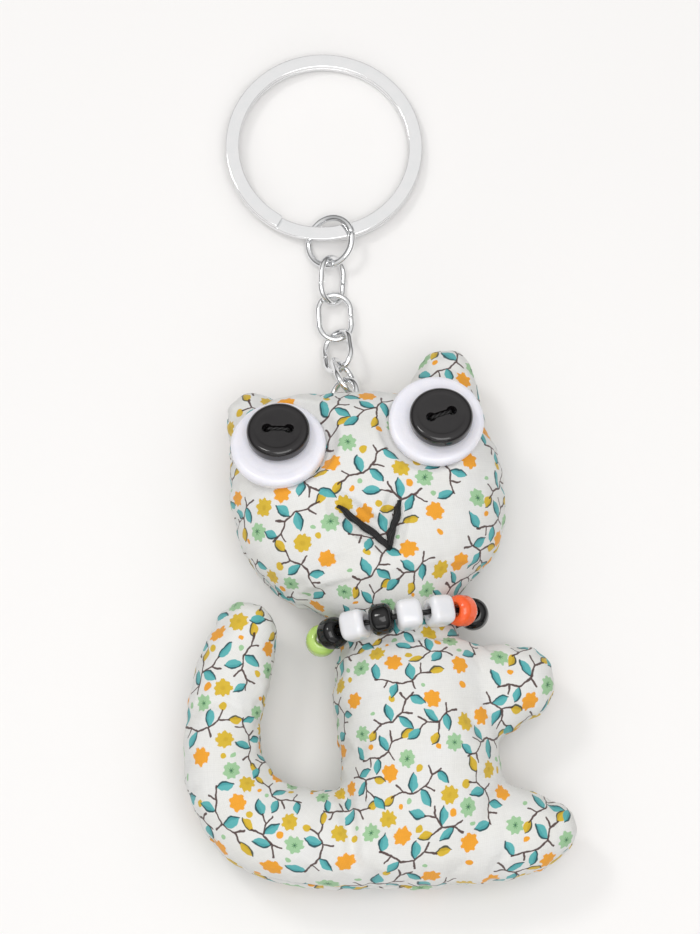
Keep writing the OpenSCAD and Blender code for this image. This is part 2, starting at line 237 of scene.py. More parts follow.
def lathe(profile, n):
    """A profile of (radius, height) turned about Z; one from the axis gets a single point at each end."""
    profile = np.asarray(profile, float)
    solid = profile[0, 0] == 0
    ring = profile[1:-1] if solid else profile
    m = len(ring)
    a = np.arange(n) * 2 * pi / n
    pts = np.stack([np.outer(np.cos(a), ring[:, 0]), np.outer(np.sin(a), ring[:, 0]),
                    np.broadcast_to(ring[:, 1], (n, m))], 2).reshape(-1, 3)
    if solid:
        pts = np.vstack([pts, [[0, 0, profile[0, 1]], [0, 0, profile[-1, 1]]]])
    faces = []
    for i in range(n):
        j = (i + 1) % n
        faces += [(i * m + k, j * m + k, j * m + (k + 1) % m, i * m + (k + 1) % m) for k in range(m - solid)]
        if solid:
            faces += [(n * m, j * m, i * m), (n * m + 1, i * m + m - 1, j * m + m - 1)]
    return pts, faces


SQUARE = np.array([(-1, -1), (1, -1), (1, 1), (-1, 1)])


def prism(outline, z0, z1):
    n = len(outline)
    return np.vstack([np.column_stack([outline, np.full(n, z)]) for z in (z0, z1)]), skin_faces(2, n)


# ---- node helpers

def linear(hexa):
    v = [int(hexa[i:i + 2], 16) / 255 for i in (0, 2, 4)]
    return [c / 12.92 if c <= 0.04045 else ((c + 0.055) / 1.055) ** 2.4 for c in v] + [1.0]


class Net:
    """Short names for the shader nodes used below."""

    def __init__(self, tree):
        self.tree = tree

    def node(self, kind, **sets):
        return given(self.tree.nodes.new("ShaderNode" + kind), **sets)

    def plug(self, socket, value):
        if isinstance(value, bpy.types.NodeSocket):
            self.tree.links.new(value, socket)
        elif value is not None:
            socket.default_value = value

    def wired(self, kind, values, out=0, **sets):
        """A node with its first inputs filled in order."""
        n = self.node(kind, **sets)
        for s, v in zip(n.inputs, values):
            self.plug(s, v)
        return n.outputs[out]

    def dress(self, shader, **values):
        for name, value in values.items():
            self.plug(shader.inputs[name.replace("_", " ")], value)

    def math(self, op, a, b=None, c=None, clamp=False):
        return self.wired("Math", (a, b, c), operation=op, use_clamp=clamp)

    add = partialmethod(math, "ADD")
    sub = partialmethod(math, "SUBTRACT")
    mul = partialmethod(math, "MULTIPLY")
    mad = partialmethod(math, "MULTIPLY_ADD")
    sine = partialmethod(math, "SINE")
    size = partialmethod(math, "ABSOLUTE")

    def most(self, a, b, op="MAXIMUM"):
        return b if a is None else self.math(op, a, b)

    least = partialmethod(most, op="MINIMUM")

    def vec(self, op, a, b=None, c=None):
        return self.wired("VectorMath", (a, b, c), int(op in ("LENGTH", "DOT_PRODUCT")), operation=op)

    def dot(self, v, *axis):
        return self.vec("DOT_PRODUCT", v, axis)

    def scale(self, v, k):
        return self.wired("VectorMath", (v, None, None, k), operation="SCALE")

    def place(self, v, at, turn, size):
        """v in the axes of a thing of that size that lies at a place, turned."""
        return self.wired("Mapping", (v, (*at, 0), (0, 0, rad(turn)), (*size, 1)), vector_type="TEXTURE")

    def ramp(self, v, a, b, c=0.0, d=1.0):
        return self.wired("MapRange", (v, a, b, c, d), interpolation_type="SMOOTHSTEP")

    def mix(self, f, a, b, kind="RGBA", blend="MIX"):
        k = ("FLOAT", "VECTOR", "RGBA").index(kind)
        n = self.node("Mix", data_type=kind, blend_type=blend)
        for s, v in ((0, f), (2 * k + 2, a), (2 * k + 3, b)):
            self.plug(n.inputs[s], v)
        return n.outputs[k]

    def noise(self, v, scale, detail=2.0, rough=0.5, out="Fac", stretch=None):
        if stretch:
            v = self.vec("MULTIPLY", v, stretch)
        n = self.node("TexNoise")
        self.dress(n, Vector=v, Scale=scale, Detail=detail, Roughness=rough)
        return n.outputs[out]

    def bump(self, height, distance, strength):
        n = self.node("Bump")
        self.dress(n, Distance=distance, Strength=strength, Height=height)
        return n.outputs[0]


def new_material(name):
    m = bpy.data.materials.new(name)
    m.use_nodes = True
    m.node_tree.nodes.clear()
    net = Net(m.node_tree)
    shader = net.node("BsdfPrincipled")
    net.plug(net.node("OutputMaterial").inputs[0], shader.outputs[0])
    return m, net, shader


def place_mm(net):
    """Object coordinates in millimetres."""
    return net.scale(net.node("TexCoord").outputs["Object"], 1000.0)


# ---- printed cotton

TILE_W, TILE_H, TILE_SLIP = 25.0, 27.0, 11.0  # mm; each next column of the repeat slips down

# Sprigs, in mm: twigs as runs of points; leaves as [x, y, turn, length, half width]
SPRIGS = [
    {"twigs": [[(-4.2, -1.7), (-2.3, -1), (-0.4, -1.2), (1.5, -0.3), (2.7, 1.3), (4.3, 1.9)],
               [(-2.3, -1), (-3.2, 0.1)], [(1.5, -0.3), (3, -1)], [(2.7, 1.3), (2.4, 2.7)]],
     "teal": [(-0.6, -1.1, 84, 3, 0.78), (0.8, -0.8, -58, 2.7, 0.72), (3.5, 1.6, -42, 2.5, 0.68)],
     "mustard": [(-3.7, -1.5, 215, 2.3, 0.66)]},
    {"twigs": [[(-3.4, 2.6), (-2.1, 1.2), (-1.2, -0.3), (0.5, -1.2), (2.4, -1), (3.8, -2.1)],
               [(-2.1, 1.2), (-3.3, 0.6)], [(0.5, -1.2), (0.1, -2.6)], [(2.4, -1), (3.6, 0.1)]],
     "teal": [(-3.2, 2.4, 58, 2.8, 0.74), (-1.4, -0.1, 205, 2.5, 0.7), (0.7, -1.1, 58, 2.9, 0.76)],
     "mustard": [(3.7, -1.9, -25, 2.4, 0.7)]},
    {"twigs": [[(0.2, -3.9), (0.6, -2.1), (-0.2, -0.4), (0.6, 1.3), (0.2, 2.9)],
               [(0.6, -2.1), (1.8, -2.9)], [(-0.2, -0.4), (-1.7, 0.6)], [(0.6, 1.3), (1.9, 2.1)]],
     "teal": [(0.2, 2.7, 100, 2.8, 0.74), (0.5, -2, 160, 2.7, 0.7), (0, -0.3, 22, 2.8, 0.74)],
     "mustard": [(-1.5, 0.5, 128, 2.3, 0.66)]},
]
# The room each sprig takes, as discs [x, y, radius]
ROOM = [[(-3.2, -1, 1.35), (-0.6, 0.3, 1.7), (1, -1.3, 1.5), (2.9, 1.2, 1.6), (4, 0.6, 1)],
        [(-2.6, 2.9, 1.5), (-2.2, 0.3, 1.5), (0.9, -0.4, 1.7), (3.4, -1.6, 1.5), (0.1, -2.4, 0.6)],
        [(0.1, 3.8, 1.4), (1.2, 1.3, 1.5), (-1.3, 0.6, 1.5), (0.1, -1.9, 1.6), (0.8, -3.3, 1)]]
# Motifs on one repeat: [count, discs, kind, distance kept from its own kind]; sprigs are counted apart
FLOWER, DOT = [(0, 0, 1.78)], [(0, 0, 0.82)]
MOTIFS = [(6, FLOWER, "orange", 7.4), (4, FLOWER, "mustard", 8.6), (5, FLOWER, "sage", 8.2),
          (5, DOT, "orange_dot", 8.5), (5, DOT, "mustard_dot", 8.0), (5, DOT, "pale_dot", 9.0)]
SPRIG_COUNT, SPRIG_APART = 9, 11.5
DOT_SIZES = {"orange_dot": ("orange", 0.42, 0.68), "mustard_dot": ("mustard", 0.42, 0.72),
             "pale_dot": ("sage", 0.3, 0.5)}
PETALS = {"orange": 7, "mustard": 8, "sage": 8}
INK = {"orange": "FCA902", "mustard": "E2BD1C", "sage": "A4D2A1", "teal": "57B9BC", "twig": "4E3431",
       "edge": "22424A", "dark_sage": "4E8F5A", "ochre": "B58D1E", "deep_teal": "2F8F99", "deep_mustard": "B8961A"}
CLOTH = "F2F2F0"


def scattered(motifs, seed, steps=500):
    """Spread motifs evenly over the slipped repeat: discs push each other apart and turn their motif."""
    r = np.random.default_rng(seed)
    n = len(motifs)
    at = r.uniform(0, 1, (n, 2)) * [TILE_W, TILE_H]
    turn = r.uniform(0, 2 * pi, n)
    discs = np.array([d for m in motifs for d in m[0]], float)
    local, size = discs[:, :2], discs[:, 2]
    whose = np.array([k for k, m in enumerate(motifs) for _ in m[0]])
    apart = np.array([[a[2] if a is not b and a[1] == b[1] else 0.0 for b in motifs] for a in motifs])

    def gaps(p):
        """The shortest steps between points across the repeat, and their lengths."""
        d = p[:, None] - p[None, :]
        column = np.round(d[..., 0] / TILE_W)
        d = np.stack([d[..., 0] - column * TILE_W, d[..., 1] - column * TILE_SLIP], -1)
        d[..., 1] -= TILE_H * np.round(d[..., 1] / TILE_H)
        far = norm(d, axis=2) + 1e-6
        return d / far[..., None], far

    other = whose[:, None] != whose[None, :]
    for step in range(steps):
        c, q = np.cos(turn)[whose], np.sin(turn)[whose]
        arm = np.stack([c * local[:, 0] - q * local[:, 1], q * local[:, 0] + c * local[:, 1]], 1)
        way, far = gaps(at[whose] + arm)
        push = np.where(other, np.maximum(size[:, None] + size[None, :] - far, 0), 0)
        force = (way * push[..., None]).sum(1)
        shift = np.stack([np.bincount(whose, force[:, k], n) for k in range(2)], 1)
        twist = np.bincount(whose, arm[:, 0] * force[:, 1] - arm[:, 1] * force[:, 0], n)
        way, far = gaps(at)
        shift += (way * np.maximum(apart - far, 0)[..., None] * 0.5).sum(1)
        cool = 0.35 * (1 - 0.7 * step / steps)
        at += shift * cool
        turn += twist * cool * 0.1
    return [(float(a[0]), float(a[1]), degrees(t)) for a, t in zip(at, turn)]


def spread_print():
    plan = [(ROOM[k % 3], "sprig%d" % (k % 3), SPRIG_APART) for k in range(SPRIG_COUNT)]
    for count, discs, kind, apart in MOTIFS:
        plan += [(discs, kind, apart) for _ in range(count)]
    out = {}
    for (_, kind, _), place in zip(plan, scattered(plan, 11)):
        out.setdefault(kind, []).append(place)
    return out


def wrapped(net, p, at):
    """p relative to the nearest repeat of a motif."""
    d = net.vec("SUBTRACT", p, (at[0], at[1], 0))
    column = net.math("ROUND", net.dot(d, 1 / TILE_W, 0, 0))
    d = net.vec("ADD", net.scale((-TILE_W, -TILE_SLIP, 0), column), d)
    return net.vec("WRAP", d, (900, TILE_H / 2, 1), (-900, -TILE_H / 2, -1))


def nearest(net, p, ats):
    """The offset to the nearest of several motifs, each turned its own way, and its length."""
    best, length = None, None
    for at in ats:
        v = net.place(wrapped(net, p, at), (0, 0), at[2], (1, 1))
        n = net.vec("LENGTH", v)
        best = v if best is None else net.mix(net.math("LESS_THAN", n, length), best, v, "VECTOR")
        length = net.least(length, n)
    return best, length


def print_group():
    """Colour of the printed cloth at a place on the flat cloth, in mm, and how much ink lies there."""
    tree = bpy.data.node_groups.new("ditsy_print", "ShaderNodeTree")
    for name, way, kind in (("Place", "INPUT", "Vector"), ("Colour", "OUTPUT", "Color"), ("Ink", "OUTPUT", "Float")):
        tree.interface.new_socket(name, in_out=way, socket_type="NodeSocket" + kind)
    net = Net(tree)
    entry = tree.nodes.new("NodeGroupInput").outputs[0]
    leave = tree.nodes.new("NodeGroupOutput")
    wobble = net.vec("SUBTRACT", net.noise(entry, 0.55, 2, out="Color"), (0.5, 0.5, 0.5))
    p = net.vec("MULTIPLY", net.vec("MULTIPLY_ADD", wobble, (0.9, 0.9, 0), entry), (1, 1, 0))
    fine = net.sub(net.noise(entry, 5.0, 1), 0.5)
    colour, ink = linear(CLOTH), 0.0

    def over(inside, width, name, cover=0.96):
        """Print one ink where inside is above nought."""
        nonlocal colour, ink
        f = net.ramp(inside, -width, width, 0.0, cover)
        colour, ink = net.mix(f, colour, linear(INK[name])), net.math("MAXIMUM", ink, f)

    spread = spread_print()
    r = np.random.default_rng(5)
    for kind, (name, small, large) in DOT_SIZES.items():
        inside = None
        for x, y, turn in spread[kind]:
            a = r.uniform(small, large)
            v = net.place(wrapped(net, p, (x, y)), (0, 0), turn, (a, a * r.uniform(0.72, 1.0)))
            inside = net.most(inside, net.sub(1.0, net.vec("LENGTH", v)))
        over(inside, 0.10, name)
    for name, petals in PETALS.items():
        v, length = nearest(net, p, spread[name])
        around = net.math("ARCTAN2", net.dot(v, 0, 1, 0), net.dot(v, 1, 0, 0))
        wave = net.math("COSINE", net.mul(around, float(petals)))
        edge = net.mad(fine, 0.35, net.mad(net.sine(net.mul(wave, 1.35)), 0.15, 1.30))
        over(net.sub(edge, length), 0.07, name)
        if name == "sage":
            over(net.sub(net.mad(wave, 0.16, 0.36), length), 0.14, "dark_sage", 0.75)
            over(net.sub(0.17, length), 0.06, "edge", 0.6)
        elif name == "mustard":
            over(net.sub(0.34, length), 0.2, "ochre", 0.28)
    for k, sprig in enumerate(SPRIGS):
        v, _ = nearest(net, p, spread["sprig%d" % k])
        bound = None
        for name in ("mustard", "teal"):
            fill, shady = None, None
            for x, y, turn, long, half in sprig[name]:
                u = net.place(v, (x, y), turn, (long, half))
                a, b = net.dot(u, 1, 0, 0), net.dot(u, 0, 1, 0)
                crown = net.mul(net.mul(a, net.sub(1.0, a)), 4.0)
                f = net.sub(crown, net.size(b))
                fill = net.most(fill, f)
                # the half towards the dark edge is printed a tone deeper
                f = net.least(f, net.sub(b, net.mul(crown, 0.18)))
                shady = net.most(shady, f)
                # a dark line along that edge
                line = net.sub(0.18, net.size(net.sub(b, net.mul(crown, 0.86))))
                bound = net.most(bound, net.least(line, net.add(f, 0.2)))
            over(fill, 0.08, name)
            over(shady, 0.16, "deep_" + name, 0.45)
        over(bound, 0.08, "edge", 0.88)
        reach = None
        for run in sprig["twigs"]:
            for (x0, y0), (x1, y1) in zip(run, run[1:]):
                along = Vector((x1 - x0, y1 - y0, 0))
                a = net.vec("SUBTRACT", v, (x0, y0, 0))
                h = net.add(net.dot(a, *(along / along.length_squared)), 0.0, clamp=True)
                d = net.vec("LENGTH", net.vec("ADD", net.scale(tuple(-along), h), a))
                reach = net.least(reach, d)
        over(net.sub(net.mad(fine, 0.08, 0.145), reach), 0.04, "twig", 0.94)
    net.plug(leave.inputs[0], colour)
    net.plug(leave.inputs[1], ink)
    return tree


THREADS = 2 * pi / 0.30  # a thread each 0.30 mm


def cotton_material(group):
    m, net, shader = new_material("printed_cotton")
    uv = net.node("UVMap", uv_map="flat")
    flat = net.scale(uv.outputs[0], 100.0)  # the map holds tenths of a metre; the print wants mm
    g = net.node("Group", node_tree=group)
    net.plug(g.inputs[0], flat)
    printed, ink = g.outputs
    axes = net.dot(flat, 1, 0, 0), net.dot(flat, 0, 1, 0)
    # over and under: the warp shows where the product is above nought, the weft where it is below
    cross = net.mul(*(net.sine(net.mul(x, THREADS)) for x in axes))
    warp, weft = (net.size(net.sine(net.mul(x, THREADS / 2))) for x in axes)
    weave = net.mix(net.ramp(cross, -0.4, 0.4), warp, weft, "FLOAT")
    slub, slub2 = (net.noise(flat, 1.0, 3, stretch=k) for k in ((3.0, 0.35, 1), (0.35, 3.0, 1)))
    fuzz = net.noise(flat, 9.0, 4, 0.7)
    soft = net.noise(flat, 0.16, 3)
    seam = net.node("Attribute", attribute_name="seam").outputs["Fac"]
    # cloth tone: threads a shade apart, fainter and fuller patches; then painted shade, darker in the groove along the
    # seam
    tone_and_seam_shade = net.ramp(net.add(net.mul(slub, 0.5), net.mul(slub2, 0.5)), 0.3, 0.7, 0.955, 1.0)
    tone_and_seam_shade = net.mul(tone_and_seam_shade, net.ramp(weave, 0.0, 0.9, 0.965, 1.0))
    tone_and_seam_shade = net.mul(tone_and_seam_shade, net.ramp(soft, 0.3, 0.7, 0.975, 1.0))
    # painted shade: the cloth's colour is drawn darker where it dips into the seam's groove
    tone_and_seam_shade = net.mul(tone_and_seam_shade, net.ramp(seam, 0.0, 1.0, 1.0, 0.72))
    grey = net.wired("CombineColor", (tone_and_seam_shade, tone_and_seam_shade, tone_and_seam_shade))
    tint = net.mix(soft, linear("F7F6F2"), linear("F2F3F6"))
    colour = net.mix(1.0, net.mix(1.0, printed, tint, blend="MULTIPLY"), grey, blend="MULTIPLY")
    # ink sinks a little less where a thread stands high
    colour = net.mix(net.mul(net.ramp(fuzz, 0.62, 0.8), net.mul(ink, 0.16)), colour, linear(CLOTH))
    height = net.mad(slub, 0.3, net.mad(weave, 0.75, net.mul(fuzz, 0.5)))
    net.dress(shader, Base_Color=colour, Roughness=net.ramp(net.mad(fuzz, 0.5, net.mul(ink, 0.2)), 0.1, 0.6, 0.9, 0.74),
              Sheen_Weight=0.22, Sheen_Roughness=0.45, Specular_IOR_Level=0.28, Normal=net.bump(height, 0.00006, 0.55))
    return m


# ---- plush form, from the drawing's stations

FULLNESS = 2.25  # power of the limbs' rounded sections
PLUMP = 0.3  # how far the cloth stands outside the stations, mm
STITCH = 2.6  # the seam's stitch length, mm
# [x, y, heading, half width, half above, half below]
HEAD = [
    (0.6, -23.4, 98, 12.8, 7.4, 7.8), (-0.6, -20.8, 95, 15.9, 9.1, 9.5), (-1.3, -17.4, 92, 18.8, 10.3, 10.4),
    (-1.6, -13.5, 90, 20.5, 10.9, 11), (-1.9, -8.5, 90, 21.3, 11, 11), (-2.2, -3.5, 90, 21.2, 11, 11),
    (-2.8, 0.8, 90, 20.6, 10.5, 10.4), (-3.4, 4, 90, 19.5, 9, 8.8)]
LEFT_EAR = [(-17.6, 0.6, 118, 6, 6.8, 6.6), (-19.2, 3.6, 118, 5, 5.4, 5.2), (-20.3, 5.6, 118, 3.9, 4.2, 4)]
RIGHT_EAR = [(8, 1, 78, 8.6, 7.8, 7.6), (9.2, 5.6, 80, 7.1, 6.4, 6.2), (9.9, 9.4, 82, 5.7, 5, 4.8),
             (10.3, 12.4, 84, 4.3, 4, 3.8)]
NECK = [(1.9, -22, 278, 9.2, 5.9, 5.9), (2.6, -28.4, 278, 9.2, 5.9, 5.9), (3.4, -36, 278, 9.2, 5.9, 5.9)]
BODY = [
    (4, -33.3, 278, 11.1, 7, 7.4), (4.6, -36, 275, 11.7, 8.7, 9.2), (5.1, -40, 270, 12.2, 9.4, 10.2),
    (5.6, -45, 270, 12.2, 9.6, 10.6), (6.2, -50, 270, 12.1, 9.6, 10.6), (6.2, -55, 270, 12.6, 9.6, 10.6),
    (5.8, -60, 270, 12.8, 9, 10), (5.6, -64.2, 270, 11.2, 7, 7.6)]
TAIL = [
    (-21, -29.4, 260, 4.7, 5.4, 5.4), (-22.3, -34, 255, 5.5, 5.4, 5.4), (-23.6, -39, 256, 5.6, 5.4, 5.4),
    (-24.3, -44, 265, 5.6, 5.5, 5.5), (-24.2, -49, 276, 5.9, 5.7, 5.7), (-22.7, -54, 298, 6.4, 6, 6),
    (-19.4, -58.3, 324, 6.9, 6.4, 6.4), (-14.6, -60.5, 346, 7.1, 6.8, 6.8), (-9, -61.3, 354, 7.1, 7.2, 7.2),
    (-2.6, -61.9, 358, 6.7, 7.4, 7.6), (4, -62.1, 360, 6.4, 7, 7.2)]
ARM = [(10, -39.4, 8, 7.6, 6.6, 6.8), (15, -38.5, 8, 7.5, 5.8, 6), (19, -37.8, 10, 7, 5.2, 5.2),
       (22.4, -36.8, 12, 5.4, 4.4, 4.4)]
LEG = [(9, -60.3, 0, 8, 7.4, 7.6), (15, -60.3, 0, 7.8, 6.6, 6.8), (20, -60.2, 2, 6.9, 6.1, 6.2),
       (24.6, -60.1, 5, 5.5, 5.2, 5.2), (27.2, -59.6, 10, 3.7, 4.2, 4.2)]
# each limb with the reach of its two rounded ends
LIMBS = [(HEAD, 3.2, 4.8), (LEFT_EAR, 3, 3.2), (RIGHT_EAR, 3, 3.7), (NECK, 1.5, 1.5), (BODY, 2.4, 4.4), (TAIL, 4.7, 3),
         (ARM, 3, 4.2), (LEG, 3, 2.6)]


def refined(st):
    """Stations with one more between each pair, on a smooth curve."""
    out, m = [], len(st)
    for k in range(m):
        out.append(st[k])
        if k < m - 1:
            a, b, c, d = (np.array(st[min(max(i, 0), m - 1)], float) for i in (k - 1, k, k + 1, k + 2))
            out.append(tuple((9 * (b + c) - (a + d)) / 16))
    return out


def limb(stations, first_end, last_end, n=44):
    st = [(x, y, turn, wide + PLUMP, above + PLUMP, below + PLUMP)
          for x, y, turn, wide, above, below in refined(refined(stations))]

    def end(s, reach, a):
        d, k = reach * sin(rad(a)), cos(rad(a))
        return (s[0] + d * cos(rad(s[2])), s[1] + d * sin(rad(s[2])), s[2], s[3] * k, s[4] * k, s[5] * k)

    angles = [84, 72, 60, 48, 36, 24, 12]
    st = ([end(st[0], -(first_end + PLUMP), a) for a in angles] + st
          + [end(st[-1], last_end + PLUMP, a) for a in angles[::-1]])
    t = np.arange(n) * 2 * pi / n
    c, q = (np.sign(f(t)) * np.abs(f(t)) ** (2 / FULLNESS) for f in (np.cos, np.sin))
    pts = []
    for x, y, turn, wide, above, below in st:
        h = rad(turn)
        pts.append(np.stack([x - sin(h) * wide * c, y + cos(h) * wide * c,
                             SEAM + np.where(q > 0, above, below) * q], 1))
    return np.vstack(pts), skin_faces(len(st), n)


def swell(obj, pinned, grow, cap):
    """Air pressure from inside on a cloth skin whose seam is held, worked at ten times the size."""
    start = coords(obj)
    work = copied(obj, "work")
    work.data.vertices.foreach_set("co", (start * 0.01).ravel())
    work.data.update()
    held = work.vertex_groups.new(name="held")
    for i in np.nonzero(pinned > 0)[0]:
        held.add([int(i)], float(pinned[i]), "REPLACE")
    cloth = work.modifiers.new("cloth", "CLOTH")
    given(cloth.settings, quality=5, mass=0.15, tension_stiffness=15, compression_stiffness=15, shear_stiffness=8,
          bending_stiffness=0.25, air_damping=1, use_pressure=True, uniform_pressure_force=4, shrink_min=-grow,
          vertex_group_mass="held")
    cloth.settings.effector_weights.gravity = 0
    given(cloth.point_cache, frame_start=1, frame_end=20)
    for f in range(1, 21):
        scene.frame_set(f)
    deps = bpy.context.evaluated_depsgraph_get()
    end = read(work.evaluated_get(deps).data.vertices, "co") / 0.01
    scene.frame_set(1)
    bpy.data.objects.remove(work)
    move = end - start
    far = norm(move, axis=1)
    move *= (cap * np.tanh(far / cap) / np.maximum(far, 1e-9))[:, None]
    set_coords(obj, start + move)


# eyes: [underside centre, tilt, tilt direction, black offset along, across, hole direction, black's extra tilt]
DISC_T, BUTTON_T = 2.2, 2.4
EYES = {"left": ((-15.8, -1.7, 18.4), 16, 100, 0.8, -0.3, -13, 3),
        "right": ((8.6, 2.2, 18.6), 9, 84, -0.6, -0.7, 27, 7)}


def on_eye(e):
    return rot_z(e[2]) @ rot_y(e[1]), np.array(e[0])


def on_button(e):
    r, t = on_eye(e)
    lift = np.array([e[3], e[4], DISC_T + 0.02 + 4.2 * sin(rad(e[6]))])
    return r @ rot_y(e[6]) @ rot_z(e[5]), t + r @ lift


MOUTH_CORNER = np.array([1.2, -17.6, 20.1])
MOUTH_ENDS = {"left": np.array([-6.4, -11.6, 20.6]), "right": np.array([2.9, -10.8, 20.75])}
LOOP_AT, LOOP_TURN = np.array([2.6, -28.4, 10.0]), rot_z(10.0) @ rot_x(-0.7)
LOOP_A, LOOP_B = 12.0, 9.0  # the necklace's half width and half height


def in_loop(p):
    return (p - LOOP_AT) @ LOOP_TURN


def on_loop(v):
    return np.asarray(v) @ LOOP_TURN.T + LOOP_AT


def contacts(p):
    """Press the cloth where buttons, floss, beads and the table hold it."""
    p = p.copy()
    for e in EYES.values():
        r, t = on_eye(e)
        v = (p - t) @ r
        d = np.hypot(v[:, 0], v[:, 1])
        # flat under the button, then rising round its edge in a soft lip
        out = np.maximum(d - 7.1, 0)
        top = -0.06 + (0.55 * out + 0.24 * out ** 2)
        high = (d < 13) & (v[:, 2] > -9) & (v[:, 2] > top)
        v[high, 2] = top[high]
        p = v @ r.T + t
    for end in MOUTH_ENDS.values():
        ab = end - MOUTH_CORNER
        h = np.clip((p - MOUTH_CORNER) @ ab / (ab @ ab), 0, 1)
        q = MOUTH_CORNER + h[:, None] * ab
        d = norm((p - q)[:, :2], axis=1)
        top = q[:, 2] - 0.28 + 0.42 * d ** 1.2
        p[:, 2] = np.where((d < 2.2) & (p[:, 2] > 15) & (p[:, 2] > top), top, p[:, 2])
    v = in_loop(p)
    off = np.abs(v[:, 1])
    room = 1 + 0.10 * np.maximum(off - 2.4, 0) ** 1.15
    size = np.sqrt((v[:, 0] / 9.3) ** 2 + (v[:, 2] / 6.3) ** 2)
    tight = (size > room) & (off < 7) & (np.abs(v[:, 0]) < 14.5)
    k = np.where(tight, room / np.maximum(size, 1e-6), 1)
    v[:, 0] *= k
    v[:, 2] *= k
    p = on_loop(v)
    # rests flat on the table
    z, soft = p[:, 2], 0.6
    p[:, 2] = np.where(z < soft, soft * np.exp(np.minimum(z - soft, 0) / soft), z)
    return p


# creases: [from, to, depth, width]
CREASES = [((-5.6, -56.4), (-4.2, -66.0), 0.75, 0.9), ((-6.6, -55.2), (-2.6, -57.2), 0.35, 0.8),
           ((16.2, -47.0), (13.2, -43.5), 0.35, 0.8), ((16.8, -52.0), (13.6, -55.0), 0.3, 0.8),
           ((12.6, -22.6), (9.2, -20.0), 0.3, 0.8), ((-9.6, -22.0), (-6.6, -19.6), 0.3, 0.8)]


def crease(p, a, b, deep, wide):
    a, b = np.array(a), np.array(b)
    h = (p[:, :2] - a) @ (b - a) / ((b - a) @ (b - a))
    d = norm(p[:, :2] - (a + h[:, None] * (b - a)), axis=1)
    fade = smoothstep(-0.25, 0.1, h) * smoothstep(1.25, 0.9, h)
    return -deep * fade * (bell(d, wide) - 0.35 * bell(d - 2.2 * wide, wide))


def build_plush():
    skin = make_object("plush_skin", *joined([limb(*entry) for entry in LIMBS]))
    given(skin.modifiers.new("remesh", "REMESH"), mode="VOXEL", voxel_size=0.72 * MM)
    apply_modifiers(skin)
    p = relaxed(coords(skin), edges_of(skin), 3)
    set_coords(skin, p)
    near = np.clip(1.3 - np.abs(p[:, 2] - SEAM) / 0.55, 0, 1)
    swell(skin, near, 0.035, 0.9)
    halves = {}
    for name, keep_up in (("front_cover", True), ("back_cover", False)):
        half = halves[name] = copied(skin, name)
        with edited(half.data) as bm:
            bmesh.ops.bisect_plane(bm, geom=bm.verts[:] + bm.edges[:] + bm.faces[:], plane_co=(0, 0, SEAM * MM),
                                   plane_no=(0, 0, 1), clear_inner=keep_up, clear_outer=not keep_up, dist=1e-6)
    bpy.data.objects.remove(skin)
    return halves


def unwrap(obj, mirrored):
    """Lay the panel out flat with little stretch, in the direction that it was cut, 0.1 m to one unit."""
    bpy.context.view_layer.objects.active = obj
    obj.select_set(True)
    mesh = obj.data
    mesh.uv_layers.new(name="flat")
    bpy.ops.object.mode_set(mode="EDIT")
    bpy.ops.mesh.select_all(action="SELECT")
    bpy.ops.uv.unwrap(method="MINIMUM_STRETCH", margin=0.0)
    bpy.ops.object.mode_set(mode="OBJECT")
    layer = mesh.uv_layers["flat"]
    uv = read(layer.data, "uv", 2)
    corner = coords(obj)[read(mesh.loops, "vertex_index", 1, int)]
    target = corner[:, :2] * (np.array([-1, 1]) if mirrored else 1)
    a, b = uv - uv.mean(0), target - target.mean(0)
    u, _, vt = np.linalg.svd(a.T @ b)
    # true scale: the length of the mesh's edges in space against the same edges laid flat
    start = read(mesh.polygons, "loop_start", 1, int)
    space = norm(corner[start] - corner[start + 1], axis=1)
    flat = norm(uv[start] - uv[start + 1], axis=1)
    k = np.median(space / np.maximum(flat, 1e-12))
    out = (a @ (u @ vt)) * k + target.mean(0)
    layer.data.foreach_set("uv", (out / 100.0).ravel())
    obj.select_set(False)


